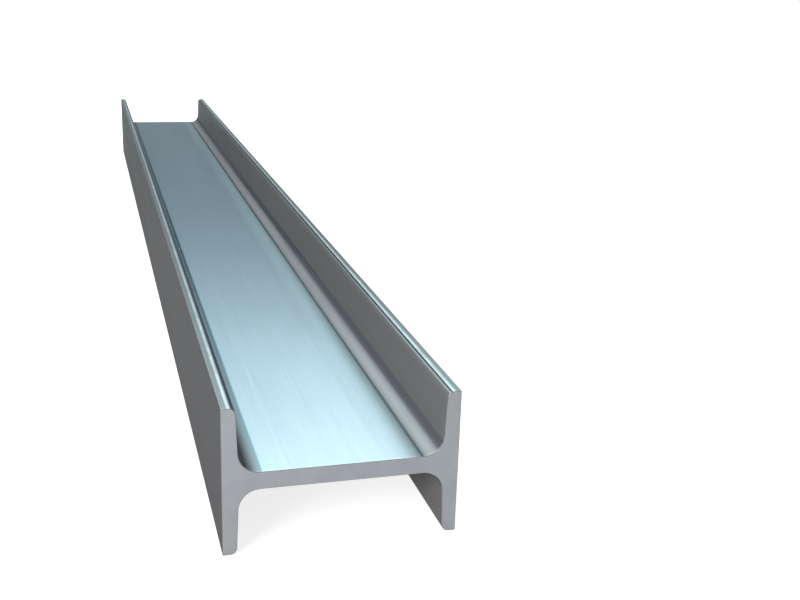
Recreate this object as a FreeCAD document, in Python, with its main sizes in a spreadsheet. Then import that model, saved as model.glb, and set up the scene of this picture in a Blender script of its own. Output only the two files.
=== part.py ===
"""Hot-rolled stainless steel H-beam, one solid, written as a parametric FreeCAD document.

Row frame, millimetres: the beam runs along X, its depth (across the web) along Y and its flange
width along Z. It lies as an H, with the web level and both flanges standing on their toes.
The origin is the centre of its footprint: mid-length, mid-depth, on the level of the lower toes.

A quarter of the section is drawn and padded to the full length. The pad is mirrored across the
web's mid-plane and across the mid-plane between the flanges.
"""

import FreeCAD, Part  # FreeCAD has to be imported before Part
import math
import os

import Sketcher

NODE = "h_beam"

# Driving dimensions: alias, value, what it is. Lengths in millimetres.
SIZES = [
    ("beam_length", 1500.0, "cut length of the beam"),
    ("section_depth", 150.0, "outer face to outer face of the flanges"),
    ("flange_width", 97.0, "toe to toe of one flange"),
    ("web_thickness", 11.5, "the same all the way across"),
    ("flange_thickness", 9.7, "measured halfway between toe and web"),
    ("flange_taper", 0.04, "how much a flange thickens per unit of width, from toe to web"),
    ("root_radius", 13.5, "fillet between the web and a flange"),
    ("toe_radius", 4.5, "rounding of a flange's inner edge"),
]

START, END = 1, 2  # which end of a sketch line or arc a constraint takes hold of
SKETCH_ORIGIN = -1


def make_sheet(doc):
    """The spreadsheet that holds the driving dimensions, each in a cell with an alias."""
    sheet = doc.addObject("Spreadsheet::Sheet", "sizes")
    for row, (alias, value, meaning) in enumerate(SIZES, start=1):
        sheet.set(f"A{row}", alias)
        sheet.set(f"B{row}", str(value))
        sheet.setAlias(f"B{row}", alias)
        sheet.set(f"C{row}", meaning)
    doc.recompute()
    return sheet


def origin_plane(body, role):
    """One of the body's own origin planes, found by its role, such as XY_Plane."""
    return next(feature for feature in body.Origin.OriginFeatures if feature.Role == role)


def draw_quarter(body, sheet):
    """Sketch of the quarter of the section with the flange on +Y and the upper toe.

    Sketch x is Y and sketch y is the height above the web's mid-plane. Going round: web mid-plane,
    outer flange face, toe, toe rounding, tapered inner flange face, root fillet, web face and the
    mid-plane between the flanges.
    """
    sketch = body.newObject("Sketcher::SketchObject", "quarter_section")
    sketch.AttachmentSupport = [(origin_plane(body, "YZ_Plane"), "")]
    sketch.MapMode = "FlatFace"

    depth = sheet.section_depth / 2
    toe_level = sheet.flange_width / 2
    web_level = sheet.web_thickness / 2
    gauge_level = (toe_level + web_level) / 2
    root, toe = sheet.root_radius, sheet.toe_radius
    slope = math.atan(sheet.flange_taper)
    outward = FreeCAD.Vector(-math.cos(slope), math.sin(slope))  # normal of the inner flange face

    def beside_inner_face(height, distance):
        """Point at a height, that far from the inner flange face and on the flange's side of it."""
        face = depth - sheet.flange_thickness + (height - gauge_level) * sheet.flange_taper
        return FreeCAD.Vector(face + distance / math.cos(slope), height)

    def line(start, end):
        """Line between two (x, y) pairs or vectors."""
        ends = [FreeCAD.Vector(x, y) for x, y in (start[:2], end[:2])]
        return sketch.addGeometry(Part.LineSegment(*ends), False)

    def arc(centre, radius, start_angle, end_angle):
        """Arc going anticlockwise between two angles."""
        circle = Part.Circle(centre, FreeCAD.Vector(0, 0, 1), radius)
        return sketch.addGeometry(Part.ArcOfCircle(circle, start_angle, end_angle), False)

    toe_centre = beside_inner_face(toe_level - toe, toe)
    root_centre = beside_inner_face(web_level + root, -root)
    toe_tangent = toe_centre + outward * toe
    root_tangent = root_centre - outward * root
    gauge_end = beside_inner_face(gauge_level, 0)

    web_middle = line((0, 0), (depth, 0))
    outer_face = line((depth, 0), (depth, toe_level))
    toe_face = line((depth, toe_level), (toe_centre.x, toe_level))
    toe_arc = arc(toe_centre, toe, math.pi / 2, math.pi - slope)
    inner_face = line((toe_tangent.x, toe_tangent.y), (root_tangent.x, root_tangent.y))
    root_arc = arc(root_centre, root, -math.pi / 2, -slope)
    web_face = line((root_centre.x, web_level), (0, web_level))
    depth_middle = line((0, web_level), (0, 0))
    gauge = line((depth, gauge_level), (gauge_end.x, gauge_end.y))
    sketch.toggleConstruction(gauge)

    def join(kind, *ends):
        sketch.addConstraint(Sketcher.Constraint(kind, *ends))

    join("Coincident", web_middle, START, SKETCH_ORIGIN, START)
    join("Coincident", web_middle, END, outer_face, START)
    join("Coincident", outer_face, END, toe_face, START)
    join("Tangent", toe_face, END, toe_arc, START)
    join("Tangent", toe_arc, END, inner_face, START)
    join("Tangent", inner_face, END, root_arc, END)
    join("Tangent", root_arc, START, web_face, START)
    join("Coincident", web_face, END, depth_middle, START)
    join("Coincident", depth_middle, END, web_middle, START)
    join("PointOnObject", gauge, START, outer_face)
    join("PointOnObject", gauge, END, inner_face)
    for level in (web_middle, toe_face, web_face, gauge):
        join("Horizontal", level)
    for upright in (outer_face, depth_middle):
        join("Vertical", upright)

    def measure(name, kind, ends, value, expression):
        """Constraint that carries a dimension, tied to the spreadsheet by its expression."""
        index = sketch.addConstraint(Sketcher.Constraint(kind, *ends, value))
        sketch.renameConstraint(index, name)
        sketch.setExpression(f"Constraints.{name}", expression)

    def from_origin(geometry, end):
        return SKETCH_ORIGIN, START, geometry, end

    measure("half_depth", "DistanceX", from_origin(web_middle, END), depth,
            "sizes.section_depth / 2")
    measure("half_width", "DistanceY", from_origin(outer_face, END), toe_level,
            "sizes.flange_width / 2")
    measure("half_web", "DistanceY", from_origin(web_face, END), web_level,
            "sizes.web_thickness / 2")
    measure("gauge_height", "DistanceY", from_origin(gauge, END), gauge_level,
            "(sizes.flange_width + sizes.web_thickness) / 4")
    measure("thickness", "DistanceX", (gauge, END, gauge, START), sheet.flange_thickness,
            "sizes.flange_thickness")
    measure("slope", "Angle", (outer_face, START, inner_face, END), slope,
            "atan(sizes.flange_taper)")
    measure("root_round", "Radius", (root_arc,), root, "sizes.root_radius")
    measure("toe_round", "Radius", (toe_arc,), toe, "sizes.toe_radius")
    return sketch


def build_beam(doc, sheet):
    """Body of the whole beam: the quarter section padded, then mirrored twice."""
    body = doc.addObject("PartDesign::Body", NODE)
    body.Label = NODE
    body.setExpression("Placement.Base.z", "sizes.flange_width / 2")

    pad = body.newObject("PartDesign::Pad", "quarter_beam")
    pad.Profile = draw_quarter(body, sheet)
    pad.SideType = "Symmetric"
    pad.setExpression("Length", "sizes.beam_length")

    whole = body.newObject("PartDesign::MultiTransform", "whole_section")
    mirrors = []
    for name, role in (("across_web", "XY_Plane"), ("across_depth", "XZ_Plane")):
        mirror = doc.addObject("PartDesign::Mirrored", name)
        body.addObject(mirror)
        mirror.MirrorPlane = (origin_plane(body, role), [""])
        mirrors.append(mirror)
    whole.Originals = [pad]
    whole.Transformations = mirrors
    whole.Refine = True
    body.Tip = whole
    return body


def check(doc, body):
    """Stop before anything is written if an object failed or the solid isn't whole."""
    for item in doc.Objects:
        if "Invalid" in item.State or "Error" in item.State:
            raise RuntimeError(f"{item.Name} did not compute: {item.State}")
    if not doc.quarter_section.FullyConstrained:
        raise RuntimeError("quarter_section is not fully constrained")
    shape = body.Shape
    if shape.isNull() or not shape.isValid() or len(shape.Solids) != 1:
        raise RuntimeError(f"{NODE} is not one valid solid")


doc = FreeCAD.newDocument("beam")
sheet = make_sheet(doc)
beam = build_beam(doc, sheet)
doc.recompute()
check(doc, beam)
os.makedirs("parts", exist_ok=True)
beam.Shape.exportStep(f"parts/{NODE}.step")
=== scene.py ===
"""Looks of the stainless steel H-beam: its drawn surface, its finishes, and a plain pale studio.

Everything is in metres in the row frame: X along the beam, Y from flange to flange, Z up.
The beam's surface is one closed mesh, worked out from the section and carried along its length.
"""

import math

import bpy
import numpy as np
from mathutils import Matrix, Vector


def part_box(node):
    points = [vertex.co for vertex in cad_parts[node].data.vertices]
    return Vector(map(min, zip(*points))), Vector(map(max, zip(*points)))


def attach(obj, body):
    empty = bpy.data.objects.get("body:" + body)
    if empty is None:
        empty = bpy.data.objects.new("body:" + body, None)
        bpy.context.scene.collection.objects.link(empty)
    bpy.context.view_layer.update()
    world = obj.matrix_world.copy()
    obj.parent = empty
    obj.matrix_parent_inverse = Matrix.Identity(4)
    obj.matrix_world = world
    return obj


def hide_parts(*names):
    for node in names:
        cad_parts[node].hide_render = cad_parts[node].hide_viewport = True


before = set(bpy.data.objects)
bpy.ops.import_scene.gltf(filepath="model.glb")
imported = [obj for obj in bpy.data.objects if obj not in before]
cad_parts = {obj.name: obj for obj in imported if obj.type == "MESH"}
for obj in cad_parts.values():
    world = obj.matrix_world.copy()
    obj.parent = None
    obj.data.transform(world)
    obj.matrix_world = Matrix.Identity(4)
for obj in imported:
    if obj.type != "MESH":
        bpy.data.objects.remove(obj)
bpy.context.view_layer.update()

# ---- the section, metres -------------------------------------------------------------------------

low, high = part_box("h_beam")
HALF_LENGTH = (high.x - low.x) / 2
HALF_DEPTH = (high.y - low.y) / 2
HALF_WIDTH = (high.z - low.z) / 2
WEB_HEIGHT = (high.z + low.z) / 2

HALF_WEB = 0.00575
FLANGE_THICKNESS = 0.0097
FLANGE_TAPER = 0.04
ROOT_RADIUS = 0.0135
TOE_RADIUS = 0.0045
CORNER_RADIUS = 0.0006   # the nearly sharp outer edges of the flanges
CUT_RADIUS = 0.0004      # the edge between a rolled face and a cut end
WEAR_AND_HIGHLIGHT_REACH = 0.0022      # how far rubbed metal and its painted highlight reach from an edge

# Across a toe: distances from the outer face and how rubbed it is there, which draws a painted
# highlight line.
# The flat of a toe has its vertices at the shares TOE_BREAKS of its run.
TOE_PLACES = (0.0034, 0.0038, 0.0056, 0.0060)
TOE_HIGHLIGHT_AND_WEAR = (0.05, 0.90, 0.90, 0.05)
TOE_BREAKS = (0.08, 0.15, 0.26, 0.40, 0.70)
CORNER_WEAR_AND_HIGHLIGHT = 0.2        # how rubbed the outer corner of a toe is, partly a painted edge highlight
CUT_WEAR_AND_HIGHLIGHT = 0.4           # and the edge at a cut end, likewise partly a painted edge highlight

ROOT_STEPS, TOE_STEPS, CORNER_STEPS, CUT_STEPS = 20, 20, 5, 4
WEB_STEPS, INNER_STEPS, OUTER_STEPS, LENGTH_STEPS = 13, 6, 7, 60


def arc(centre, radius, start, end, steps, hollow=False):
    """Points and outward normals of a round.

    point = centre + radius * (cos a, sin a) for a from start to end in degrees. The normal is the
    same direction from the centre, or the opposite one where the round is hollow.
    """
    angle = np.radians(np.linspace(start, end, steps + 1))
    direction = np.stack([np.cos(angle), np.sin(angle)], axis=1)
    normal = -direction if hollow else direction
    return np.array(centre) + radius * direction, normal


def flat(start, end, normal, breaks):
    """Points on a straight face at those distances from its start, all with the face's normal."""
    start, end = np.array(start), np.array(end)
    run = (end - start) / np.linalg.norm(end - start)
    points = start + np.outer(np.array(breaks), run)
    return points, np.tile(normal, (len(breaks), 1))


def quarter_section():
    """Points, normals and wear, with its painted highlight, of the section from the middle of the
    upper web face to mid-flange.

    It is web face, root round, tapered inner face, toe round, toe, outer corner and outer face.
    x is the distance from the middle of the depth and y the height above the middle of the web.
    Wear and painted highlight follow the toe's table across the toe and its inner round, where they
    draw a painted highlight line, take the outer corner's value on the outer corner and are 0 on the
    wide faces.
    """
    slope = math.atan(FLANGE_TAPER)
    degrees = math.degrees(slope)
    middle = (HALF_WIDTH + HALF_WEB) / 2

    def beside_inner_face(height, distance):
        face = HALF_DEPTH - FLANGE_THICKNESS + (height - middle) * FLANGE_TAPER
        return np.array([face + distance / math.cos(slope), height])

    inner_normal = np.array([-math.cos(slope), math.sin(slope)])
    root_centre = beside_inner_face(HALF_WEB + ROOT_RADIUS, -ROOT_RADIUS)
    toe_centre = beside_inner_face(HALF_WIDTH - TOE_RADIUS, TOE_RADIUS)
    corner_centre = np.array([HALF_DEPTH - CORNER_RADIUS, HALF_WIDTH - CORNER_RADIUS])
    root_end = root_centre - inner_normal * ROOT_RADIUS
    toe_start = toe_centre + inner_normal * TOE_RADIUS
    face_run = np.linalg.norm(toe_start - root_end)
    toe_run = corner_centre[0] - toe_centre[0]

    web = flat((0, HALF_WEB), (root_centre[0], HALF_WEB), (0, 1),
               np.linspace(0, root_centre[0], WEB_STEPS + 1)[:-1])
    root = arc(root_centre, ROOT_RADIUS, -90, -degrees, ROOT_STEPS, hollow=True)
    inner = flat(root_end, toe_start, inner_normal,
                 np.linspace(0, face_run - WEAR_AND_HIGHLIGHT_REACH, INNER_STEPS + 1)[1:])
    toe = arc(toe_centre, TOE_RADIUS, 180 - degrees, 90, TOE_STEPS)
    top = flat((toe_centre[0], HALF_WIDTH), (corner_centre[0], HALF_WIDTH), (0, 1),
               np.array(TOE_BREAKS) * toe_run)
    corner = arc(corner_centre, CORNER_RADIUS, 90, 0, CORNER_STEPS)
    outer_run = HALF_WIDTH - CORNER_RADIUS
    outer = flat((HALF_DEPTH, outer_run), (HALF_DEPTH, 0), (1, 0),
                 np.linspace(WEAR_AND_HIGHLIGHT_REACH, outer_run, OUTER_STEPS + 1))

    parts = [web, root, inner, toe, top, corner, outer]
    toe_highlight_and_wear = [np.interp(HALF_DEPTH - points[:, 0], TOE_PLACES, TOE_HIGHLIGHT_AND_WEAR)
                for points, _ in (toe, top)]
    wear_and_highlight_of = [0, 0, 0, *toe_highlight_and_wear, CORNER_WEAR_AND_HIGHLIGHT, 0]
    points = np.concatenate([part[0] for part in parts])
    normals = np.concatenate([part[1] for part in parts])
    wear_and_highlight = np.concatenate([value + np.zeros(len(part[0])) for part, value in zip(parts, wear_and_highlight_of)])
    return points, normals, wear_and_highlight


def whole_section():
    """The closed section, by turning the quarter over: below the web, then across the depth.

    The loop runs clockwise as seen from the +X end, and each shared point is kept once.
    """
    points, normals, wear_and_highlight = quarter_section()
    below, across, both = np.array([1, -1]), np.array([-1, 1]), np.array([-1, -1])
    loop = np.concatenate([points, (points * below)[::-1][1:],
                           (points * both)[1:], (points * across)[::-1][1:-1]])
    outward = np.concatenate([normals, (normals * below)[::-1][1:],
                              (normals * both)[1:], (normals * across)[::-1][1:-1]])
    rubbed_and_highlit = np.concatenate([wear_and_highlight, wear_and_highlight[::-1][1:], wear_and_highlight[1:], wear_and_highlight[::-1][1:-1]])
    return loop, outward, rubbed_and_highlit


def stations():
    """Places along X, and the section's inset, its normal's lean towards +X and its wear there,
    partly a painted edge highlight.

    Within CUT_RADIUS of an end the surface follows a quarter round: for an angle a from 90 to 0,
    the distance from the end is r (1 - sin a) and the section is drawn in by r (1 - cos a).
    """
    turn = np.radians(np.linspace(90, 0, CUT_STEPS + 1))
    place = HALF_LENGTH - CUT_RADIUS * (1 - np.sin(turn))
    drawn_in = CUT_RADIUS * (1 - np.cos(turn))
    near_end = HALF_LENGTH - CUT_RADIUS - WEAR_AND_HIGHLIGHT_REACH
    middle = np.linspace(-near_end, near_end, LENGTH_STEPS + 1)
    level = np.zeros(len(middle))
    x = np.concatenate([-place, middle, place[::-1]])
    inset = np.concatenate([drawn_in, level, drawn_in[::-1]])
    lean = np.concatenate([-turn, level, turn[::-1]])
    at_end = np.full(len(turn), CUT_WEAR_AND_HIGHLIGHT)
    worn_and_highlit = np.concatenate([at_end, level, at_end])
    return x, inset, lean, worn_and_highlit


def beam_surface(rolled, cut):
    """The beam: every station's section joined to the next, closed by a flat face at each end.

    A vertex is (x, section point - inset * section normal), raised to the web's height, and its
    normal is cos(lean) of the section's normal and sin(lean) of +X.
    """
    loop, outward, rubbed_and_highlit = whole_section()
    x, inset, lean, worn_and_highlit = stations()
    count, rows = len(loop), len(x)

    section = loop[None] - inset[:, None, None] * outward[None]
    vertices = np.empty((rows, count, 3))
    vertices[..., 0] = x[:, None]
    vertices[..., 1] = section[..., 0]
    vertices[..., 2] = section[..., 1] + WEB_HEIGHT
    normals = np.empty((rows, count, 3))
    normals[..., 0] = np.sin(lean)[:, None]
    normals[..., 1:] = np.cos(lean)[:, None, None] * outward[None]
    wear_and_highlight = np.maximum(rubbed_and_highlit[None], worn_and_highlit[:, None])

    row, place = np.meshgrid(np.arange(rows - 1), np.arange(count), indexing="ij")
    following = (place + 1) % count
    quads = np.stack([row * count + place, (row + 1) * count + place,
                      (row + 1) * count + following, row * count + following], axis=-1)
    quads = quads.reshape(-1, 4)
    near_cap = np.arange(count)[::-1] + (rows - 1) * count
    far_cap = np.arange(count)

    mesh = bpy.data.meshes.new("h_beam_steel")
    faces = quads.tolist() + [near_cap.tolist(), far_cap.tolist()]
    mesh.from_pydata(vertices.reshape(-1, 3), [], faces)
    mesh.materials.append(rolled)
    mesh.materials.append(cut)
    material_index = np.zeros(len(faces), np.int32)
    material_index[-2:] = 1
    mesh.polygons.foreach_set("material_index", material_index)
    mesh.polygons.foreach_set("use_smooth", np.ones(len(faces), bool))
    mesh.attributes.new("rubbed_and_highlit", "FLOAT", "POINT").data.foreach_set(
        "value", wear_and_highlight.reshape(-1).astype(np.float32))

    side_normals = normals.reshape(-1, 3)[quads.reshape(-1)]
    cap_normals = np.repeat([[1.0, 0.0, 0.0], [-1.0, 0.0, 0.0]], count, axis=0)
    mesh.update()
    mesh.normals_split_custom_set(np.concatenate([side_normals, cap_normals]).tolist())

    beam = bpy.data.objects.new("h_beam_steel", mesh)
    bpy.context.scene.collection.objects.link(beam)
    return beam


# ---- finishes ------------------------------------------------------------------------------------


class Nodes:
    """Short hand for laying out a node tree: nodes by type, and links by socket."""

    def __init__(self, tree):
        self.tree = tree

    def add(self, kind, **settings):
        node = self.tree.nodes.new(kind)
        for name, value in settings.items():
            setattr(node, name, value)
        return node

    def link(self, output, socket):
        self.tree.links.new(output, socket)

    def math(self, operation, first, second=0.0, clamp=False):
        """One Math node; each input is a socket or a number. Returns its output."""
        node = self.add("ShaderNodeMath", operation=operation, use_clamp=clamp)
        for socket, value in zip(node.inputs, (first, second)):
            if isinstance(value, bpy.types.NodeSocket):
                self.link(value, socket)
            else:
                socket.default_value = value
        return node.outputs[0]

    def ramp(self, value, low_in, high_in, low_out, high_out):
        """Value carried from one range to another along a smooth step."""
        node = self.add("ShaderNodeMapRange", interpolation_type="SMOOTHSTEP")
        self.link(value, node.inputs["Value"])
        for name, number in (("From Min", low_in), ("From Max", high_in),
                             ("To Min", low_out), ("To Max", high_out)):
            node.inputs[name].default_value = number
        return node.outputs["Result"]

    def blend(self, factor, first, second, mode="MIX"):
        """One colour Mix node; each input is a socket or a value. Returns its colour."""
        node = self.add("ShaderNodeMix", data_type="RGBA", blend_type=mode)
        for socket, value in ((node.inputs[0], factor), (node.inputs[6], first),
                              (node.inputs[7], second)):
            if isinstance(value, bpy.types.NodeSocket):
                self.link(value, socket)
            else:
                socket.default_value = value
        return node.outputs[2]

    def noise(self, vector, scale, detail, roughness=0.5):
        """One Noise texture read at a vector. Returns its factor."""
        node = self.add("ShaderNodeTexNoise")
        self.link(vector, node.inputs["Vector"])
        node.inputs["Scale"].default_value = scale
        node.inputs["Detail"].default_value = detail
        node.inputs["Roughness"].default_value = roughness
        return node.outputs[0]

    def stretched(self, vector, scale):
        """The vector with each axis multiplied, so that a pattern on it is drawn out or packed."""
        node = self.add("ShaderNodeMapping")
        self.link(vector, node.inputs["Vector"])
        node.inputs["Scale"].default_value = scale
        return node.outputs["Vector"]


def new_group(name, inputs, outputs):
    """An empty node group with those sockets, as Nodes, its group input and its group output."""
    tree = bpy.data.node_groups.new(name, "ShaderNodeTree")
    for title, kind, value in inputs:
        socket = tree.interface.new_socket(name=title, in_out="INPUT", socket_type=kind)
        if value is not None:
            socket.default_value = value
    for title, kind in outputs:
        tree.interface.new_socket(name=title, in_out="OUTPUT", socket_type=kind)
    nodes = Nodes(tree)
    return nodes, nodes.add("NodeGroupInput").outputs, nodes.add("NodeGroupOutput").inputs


def rolling_grain_group():
    """Fine streaks along X, broad cloudy variation, and the height of the streaks for a bump."""
    nodes, given, result = new_group(
        "Rolling Grain",
        [("Vector", "NodeSocketVector", None), ("Streaks", "NodeSocketFloat", 1.0),
         ("Clouds", "NodeSocketFloat", 1.0)],
        [("Tone", "NodeSocketFloat"), ("Height", "NodeSocketFloat")])
    vector = given["Vector"]
    fine = nodes.noise(nodes.stretched(vector, (9.0, 1400.0, 1400.0)), 1.0, 3.0, 0.6)
    broad = nodes.noise(nodes.stretched(vector, (1.6, 160.0, 160.0)), 1.0, 2.0, 0.5)
    clouds = nodes.noise(nodes.stretched(vector, (3.0, 9.0, 9.0)), 1.0, 3.0, 0.55)
    streaks = nodes.math("ADD", nodes.math("MULTIPLY", fine, 0.6),
                         nodes.math("MULTIPLY", broad, 0.4))
    streaks = nodes.math("MULTIPLY", nodes.math("SUBTRACT", streaks, 0.5), given["Streaks"])
    clouds = nodes.math("MULTIPLY", nodes.math("SUBTRACT", clouds, 0.5), given["Clouds"])
    nodes.link(nodes.math("ADD", nodes.math("ADD", streaks, clouds), 0.5), result["Tone"])
    nodes.link(streaks, result["Height"])
    return nodes.tree


def wear_and_highlight_group():
    """Mask of rubbed metal and painted highlight lines: the attribute that carries both, broken up
    by a mottle.
    """
    nodes, given, result = new_group(
        "Wear And Highlight",
        [("Vector", "NodeSocketVector", None), ("Rubbed", "NodeSocketFloat", 0.0),
         ("Amount", "NodeSocketFloat", 1.0)],
        [("Mask", "NodeSocketFloat")])
    mottle = nodes.noise(nodes.stretched(given["Vector"], (60.0, 260.0, 260.0)), 1.0, 4.0, 0.6)
    broken = nodes.ramp(mottle, 0.3, 0.7, 0.55, 1.0)
    mask = nodes.math("MULTIPLY", nodes.math("POWER", given["Rubbed"], 1.5), broken)
    nodes.link(nodes.math("MULTIPLY", mask, given["Amount"], clamp=True), result["Mask"])
    return nodes.tree


def new_material(name):
    """A material with its Principled shader, as the material, its Nodes and the shader's inputs."""
    material = bpy.data.materials.new(name)
    material.use_nodes = True
    nodes = Nodes(material.node_tree)
    return material, nodes, material.node_tree.nodes["Principled BSDF"].inputs


def placed_group(nodes, tree, **values):
    """A node group placed in a tree; each value is a socket to link or a number to set."""
    node = nodes.add("ShaderNodeGroup", node_tree=tree)
    for name, value in values.items():
        if isinstance(value, bpy.types.NodeSocket):
            nodes.link(value, node.inputs[name])
        else:
            node.inputs[name].default_value = value
    return node.outputs


def add_bump(nodes, shader, height, strength, distance):
    """A Bump node between a height and the shader's Normal; distance is in metres."""
    bump = nodes.add("ShaderNodeBump")
    bump.inputs["Strength"].default_value = strength
    bump.inputs["Distance"].default_value = distance
    nodes.link(height, bump.inputs["Height"])
    nodes.link(bump.outputs["Normal"], shader["Normal"])


WEB_COLOUR = (0.203, 0.211, 0.235, 1)         # cool blue-grey of the wide web
WEB_SIDE_PAINTED_LIGHT_COLOUR = (0.236, 0.248, 0.270, 1)    # painted light: the web's +Y border, made brighter where the flange shades its reflection
ROOT_PAINTED_REFLECTION_COLOUR = (0.166, 0.150, 0.156, 1)        # painted reflection: brighter band of the +Y root round
ROOT_PAINTED_SHADE_COLOUR = (0.128, 0.130, 0.142, 1)   # painted shade: slate band of the -Y root round
ROOT_PAINTED_SHADE_LINE_COLOUR = (0.070, 0.110, 0.120, 1)   # painted shade: thin dark line where web and root round meet
HOLLOW_PAINTED_SHADE_COLOUR = (0.122, 0.124, 0.138, 1)      # painted shade on the upper half of the root round
INNER_COLOUR = (0.196, 0.194, 0.199, 1)       # inner flange faces
TOE_EDGE_COLOUR = (0.150, 0.152, 0.158, 1)    # inner edges of the +Y toes
TOE_PAINTED_SHADE_LINE_COLOUR = (0.042, 0.045, 0.050, 1)    # painted shade: thin dark line on the rounds of the +Y toes
TOE_PAINTED_SLATE_SHADE_COLOUR = (0.100, 0.116, 0.142, 1)  # painted shade: wider slate line on the rounds of the -Y toes
TOE_COLOUR = (0.150, 0.152, 0.160, 1)         # flange toes
OUTER_COLOUR = (0.158, 0.155, 0.161, 1)       # outer flange faces
RUBBED_AND_HIGHLIGHT_COLOUR = (0.380, 0.374, 0.386, 1)      # bare metal on rubbed edges, and painted highlight lines on the toes and edges
CUT_COLOUR = (0.278, 0.290, 0.308, 1)         # sawn ends

# The tones from the root outwards: the distances from mid-depth where one starts and where it has
# taken over, in metres, and its colours on the -Y and the +Y side. The root and toe-round ones are
# painted shade and painted reflection; the inner, toe and outer ones are the faces' own tones.
TONES_AND_PAINTED_LIGHT = [
    (0.0500, 0.0520, ROOT_PAINTED_SHADE_COLOUR, ROOT_PAINTED_REFLECTION_COLOUR),
    (0.0608, 0.0616, HOLLOW_PAINTED_SHADE_COLOUR, HOLLOW_PAINTED_SHADE_COLOUR),
    (0.0640, 0.0650, INNER_COLOUR, INNER_COLOUR),
    (0.0661, 0.0665, TOE_PAINTED_SLATE_SHADE_COLOUR, TOE_EDGE_COLOUR),
    (0.0677, 0.0683, TOE_PAINTED_SLATE_SHADE_COLOUR, TOE_PAINTED_SHADE_LINE_COLOUR),
    (0.0688, 0.0694, TOE_COLOUR, TOE_COLOUR),
    (0.0744, 0.0750, OUTER_COLOUR, OUTER_COLOUR),
]
WEB_PAINTED_LIGHT_SPAN = (0.0300, 0.0490)       # Y over which the web turns to its painted brighter +Y border
SIDES = (-0.01, 0.01)             # Y over which the -Y side's tones give way to the +Y side's, whose painted shade and reflection differ
LINE_RISE = (0.0494, 0.0506)      # distances over which the painted dark line at the root darkens
LINE_FALL = (0.0512, 0.0526)      # and fades again
LINE_DEPTH = 0.5
ROOT_DULLS = (0.0510, 0.0550)     # distances over which the web's gloss gives way to the root's
TOE_SHINES = (0.0655, 0.0670)     # and the toe's gloss begins
METAL_DULLS = (0.0606, 0.0650)    # and the metal turns to the flange's duller film
OUTER_STARTS = (0.0744, 0.0750)   # and the outer face begins
WEB_ROUGHNESS, FLANGE_ROUGHNESS = 0.30, 0.46
TOE_POLISH = 0.12                 # how much smoother a toe is than a flange face
RUBBED_POLISH = 0.12              # how much smoother rubbed metal is
STREAK_ROUGHNESS = 0.03
BARE_METALLIC, FILM_METALLIC = 0.88, 0.55


def rolled_steel(grain, wear_and_highlight):
    """Mill-finished rolled faces: tone by place on the section, much of it painted shade and painted
    reflection, streaks along the beam, and rubbed edges with painted highlight lines."""
    material, nodes, shader = new_material("rolled_steel")
    place = nodes.add("ShaderNodeTexCoord").outputs["Object"]
    axes = nodes.add("ShaderNodeSeparateXYZ")
    nodes.link(place, axes.inputs[0])
    across = axes.outputs["Y"]
    from_middle = nodes.math("ABSOLUTE", across)

    # painted light: the web's +Y border is made brighter
    tone_and_painted_light = nodes.blend(nodes.ramp(across, *WEB_PAINTED_LIGHT_SPAN, 0, 1), WEB_COLOUR, WEB_SIDE_PAINTED_LIGHT_COLOUR)
    # painted shade and painted reflection on the root and toe rounds, different on the -Y and +Y
    # sides, among the faces' own tones
    plus_side = nodes.ramp(across, *SIDES, 0, 1)
    for start, full, minus_colour, plus_colour in TONES_AND_PAINTED_LIGHT:
        colour = nodes.blend(plus_side, minus_colour, plus_colour)
        tone_and_painted_light = nodes.blend(nodes.ramp(from_middle, start, full, 0, 1), tone_and_painted_light, colour)
    # painted shade: a thin dark line where the web meets the root round
    line = nodes.math("MULTIPLY", nodes.ramp(from_middle, *LINE_RISE, 0, 1),
                      nodes.ramp(from_middle, *LINE_FALL, 1, 0))
    tone_and_painted_light = nodes.blend(nodes.math("MULTIPLY", line, LINE_DEPTH), tone_and_painted_light, ROOT_PAINTED_SHADE_LINE_COLOUR)

    streaks = placed_group(nodes, grain, Vector=place, Streaks=1.0, Clouds=0.8)
    light_and_dark = nodes.ramp(streaks["Tone"], 0.2, 0.8, 0.93, 1.07)
    varied = nodes.blend(1.0, tone_and_painted_light, light_and_dark, "MULTIPLY")

    # rubbed metal, and painted highlight lines on the toes and edges
    rubbed_and_highlit = nodes.add("ShaderNodeAttribute", attribute_name="rubbed_and_highlit").outputs["Fac"]
    worn_and_highlit = placed_group(nodes, wear_and_highlight, Vector=place, Rubbed=rubbed_and_highlit, Amount=0.8)["Mask"]
    nodes.link(nodes.blend(worn_and_highlit, varied, RUBBED_AND_HIGHLIGHT_COLOUR), shader["Base Color"])

    face_gloss = nodes.ramp(from_middle, *ROOT_DULLS, WEB_ROUGHNESS, FLANGE_ROUGHNESS)
    toe_gloss = nodes.math("ADD", nodes.ramp(from_middle, *TOE_SHINES, 0.0, -TOE_POLISH),
                           nodes.ramp(from_middle, *OUTER_STARTS, 0.0, TOE_POLISH))
    streak_gloss = nodes.ramp(streaks["Tone"], 0.2, 0.8, STREAK_ROUGHNESS, -STREAK_ROUGHNESS)
    gloss = nodes.math("ADD", nodes.math("ADD", face_gloss, toe_gloss), streak_gloss)
    polish = nodes.math("MULTIPLY", worn_and_highlit, RUBBED_POLISH)
    nodes.link(nodes.math("SUBTRACT", gloss, polish), shader["Roughness"])

    filmed = nodes.ramp(from_middle, *METAL_DULLS, BARE_METALLIC, FILM_METALLIC)
    bared = nodes.ramp(from_middle, *OUTER_STARTS, 0.0, BARE_METALLIC - FILM_METALLIC)
    nodes.link(nodes.math("ADD", filmed, bared), shader["Metallic"])
    shader["Specular IOR Level"].default_value = 0.0
    shader["Specular Tint"].default_value = (0.17, 0.17, 0.17, 1)
    add_bump(nodes, shader, streaks["Height"], 0.07, 0.00003)
    return material


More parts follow.
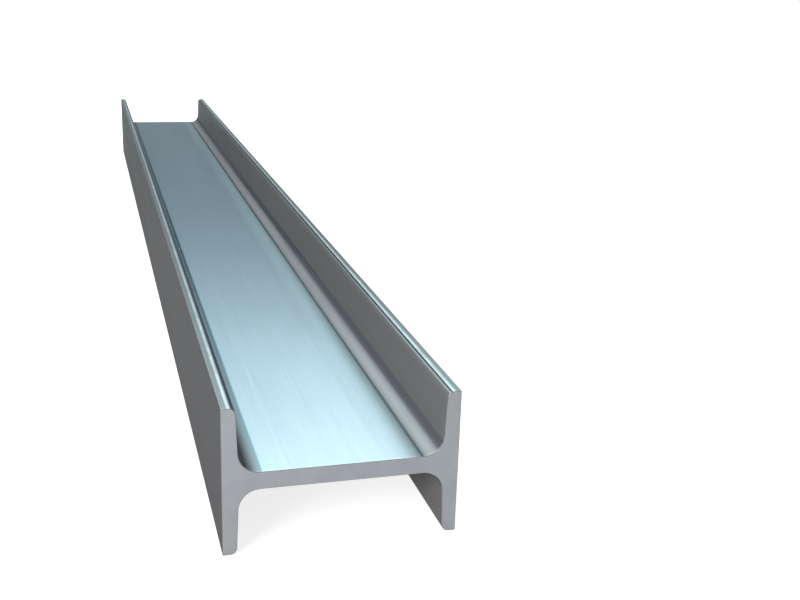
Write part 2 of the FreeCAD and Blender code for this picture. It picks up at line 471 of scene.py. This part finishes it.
def cut_steel():
    """Cut ends: even satin grey with faint straight blade marks."""
    material, nodes, shader = new_material("cut_steel")
    place = nodes.add("ShaderNodeTexCoord").outputs["Object"]
    marks = nodes.noise(nodes.stretched(place, (40.0, 30.0, 1500.0)), 1.0, 2.0, 0.6)
    clouds = nodes.noise(nodes.stretched(place, (60.0, 60.0, 60.0)), 1.0, 3.0, 0.5)
    both = nodes.math("ADD", nodes.math("MULTIPLY", marks, 0.5),
                      nodes.math("MULTIPLY", clouds, 0.5))
    light_and_dark = nodes.ramp(both, 0.3, 0.7, 0.92, 1.08)
    nodes.link(nodes.blend(1.0, CUT_COLOUR, light_and_dark, "MULTIPLY"), shader["Base Color"])
    nodes.link(nodes.ramp(both, 0.3, 0.7, 0.52, 0.62), shader["Roughness"])
    shader["Metallic"].default_value = 0.8
    shader["Specular IOR Level"].default_value = 0.0
    add_bump(nodes, shader, marks, 0.3, 0.00005)
    return material


# ---- studio --------------------------------------------------------------------------------------

FLOOR_REACH = 60.0
FLOOR_COLOUR = (0.38, 0.38, 0.38, 1)
FLOOR_LIFT = 0.80          # pale shine of the floor in view and in reflections
WORLD_STRENGTH = 0.55      # the world's light on the beam; in view and in reflections it is white


def seen_directly(nodes):
    """1 for the camera's own rays and for rays that a gloss or glass sends on, 0 for all others."""
    path = nodes.add("ShaderNodeLightPath").outputs
    seen = nodes.math("ADD", path["Is Camera Ray"], path["Is Glossy Ray"])
    return nodes.math("ADD", seen, path["Is Transmission Ray"], clamp=True)


def make_floor():
    """A level pale floor, which keeps the beam's shadow and can be looked through from below."""
    material, nodes, shader = new_material("pale_floor")
    shader["Base Color"].default_value = FLOOR_COLOUR
    shader["Roughness"].default_value = 0.9
    shader["Specular IOR Level"].default_value = 0.0
    shader["Emission Color"].default_value = (1, 1, 1, 1)
    nodes.link(nodes.math("MULTIPLY", seen_directly(nodes), FLOOR_LIFT), shader["Emission Strength"])
    see_through = nodes.add("ShaderNodeBsdfTransparent").outputs[0]
    below = nodes.add("ShaderNodeNewGeometry").outputs["Backfacing"]
    either = nodes.add("ShaderNodeMixShader")
    nodes.link(below, either.inputs[0])
    nodes.link(material.node_tree.nodes["Principled BSDF"].outputs[0], either.inputs[1])
    nodes.link(see_through, either.inputs[2])
    nodes.link(either.outputs[0], material.node_tree.nodes["Material Output"].inputs["Surface"])
    corners = FLOOR_REACH * np.array([[-1, -1, 0], [1, -1, 0], [1, 1, 0], [-1, 1, 0]])
    mesh = bpy.data.meshes.new("floor")
    mesh.from_pydata(corners + np.array([0, 0, low.z]), [], [[0, 1, 2, 3]])
    mesh.materials.append(material)
    floor = bpy.data.objects.new("floor", mesh)
    bpy.context.scene.collection.objects.link(floor)


def make_world():
    """Even white surroundings that light the beam at WORLD_STRENGTH."""
    world = bpy.data.worlds.new("studio")
    world.use_nodes = True
    nodes = Nodes(world.node_tree)
    background = world.node_tree.nodes["Background"].inputs
    background["Color"].default_value = (1, 1, 1, 1)
    seen = seen_directly(nodes)
    strength = nodes.math("ADD", nodes.math("MULTIPLY", seen, 1 - WORLD_STRENGTH), WORLD_STRENGTH)
    nodes.link(strength, background["Strength"])
    bpy.context.scene.world = world


def turned_towards(place, target):
    """Matrix of something at place whose -Z looks at the target, with its X level."""
    look = Vector(target) - Vector(place)
    return Matrix.Translation(place) @ look.to_track_quat("-Z", "Y").to_matrix().to_4x4()


def softbox(name, place, target, size, brightness, colour):
    """A rectangular soft lamp that the camera doesn't see, turned to a target.

    Its power is pi * area * brightness, so its face is that many times as bright as white.
    """
    lamp = bpy.data.lights.new(name, "AREA")
    lamp.shape = "RECTANGLE"
    lamp.size, lamp.size_y = size
    lamp.energy = math.pi * size[0] * size[1] * brightness
    lamp.color = colour
    item = bpy.data.objects.new(name, lamp)
    item.matrix_world = turned_towards(place, target)
    item.visible_camera = False
    bpy.context.scene.collection.objects.link(item)


def make_camera(aim, distance, azimuth, elevation, roll, lens):
    """A camera at a distance from its aim, on a bearing from +X towards +Y and above the level.

    It looks at the aim, and roll turns it clockwise about its line of sight.
    """
    bearing, rise = math.radians(azimuth), math.radians(elevation)
    back = Vector((math.cos(rise) * math.cos(bearing), math.cos(rise) * math.sin(bearing),
                   math.sin(rise)))
    data = bpy.data.cameras.new("camera")
    data.sensor_width = 36
    data.lens = lens
    data.clip_start = 0.01
    data.clip_end = 500
    camera = bpy.data.objects.new("camera", data)
    place = Vector(aim) + distance * back
    camera.matrix_world = turned_towards(place, aim) @ Matrix.Rotation(-math.radians(roll), 4, "Z")
    bpy.context.scene.collection.objects.link(camera)
    bpy.context.scene.camera = camera


make_camera(aim=(0.4251, 0.1290, 0.0543), distance=1.0, azimuth=-16.54, elevation=17.08,
            roll=-2.0, lens=48.73)
beam = beam_surface(rolled_steel(rolling_grain_group(), wear_and_highlight_group()), cut_steel())
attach(beam, "root")
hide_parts("h_beam")

make_floor()
make_world()
softbox("back_softbox", place=(-3.3, 0.2, 2.5), target=(0, 0, 0.3), size=(4.4, 3.0),
        brightness=7.4, colour=(0.70, 1.0, 0.98))
softbox("front_left_softbox", place=(1.6, -1.0, 0.6), target=(0.7, 0, 0.05), size=(0.6, 0.6),
        brightness=23.0, colour=(1.0, 0.99, 0.98))
softbox("overhead_softbox", place=(0.5, -0.5, 3.0), target=(0, 0, 0), size=(2.0, 2.0),
        brightness=1.2, colour=(1.0, 0.97, 0.94))

bpy.context.scene.view_settings.view_transform = "Standard"
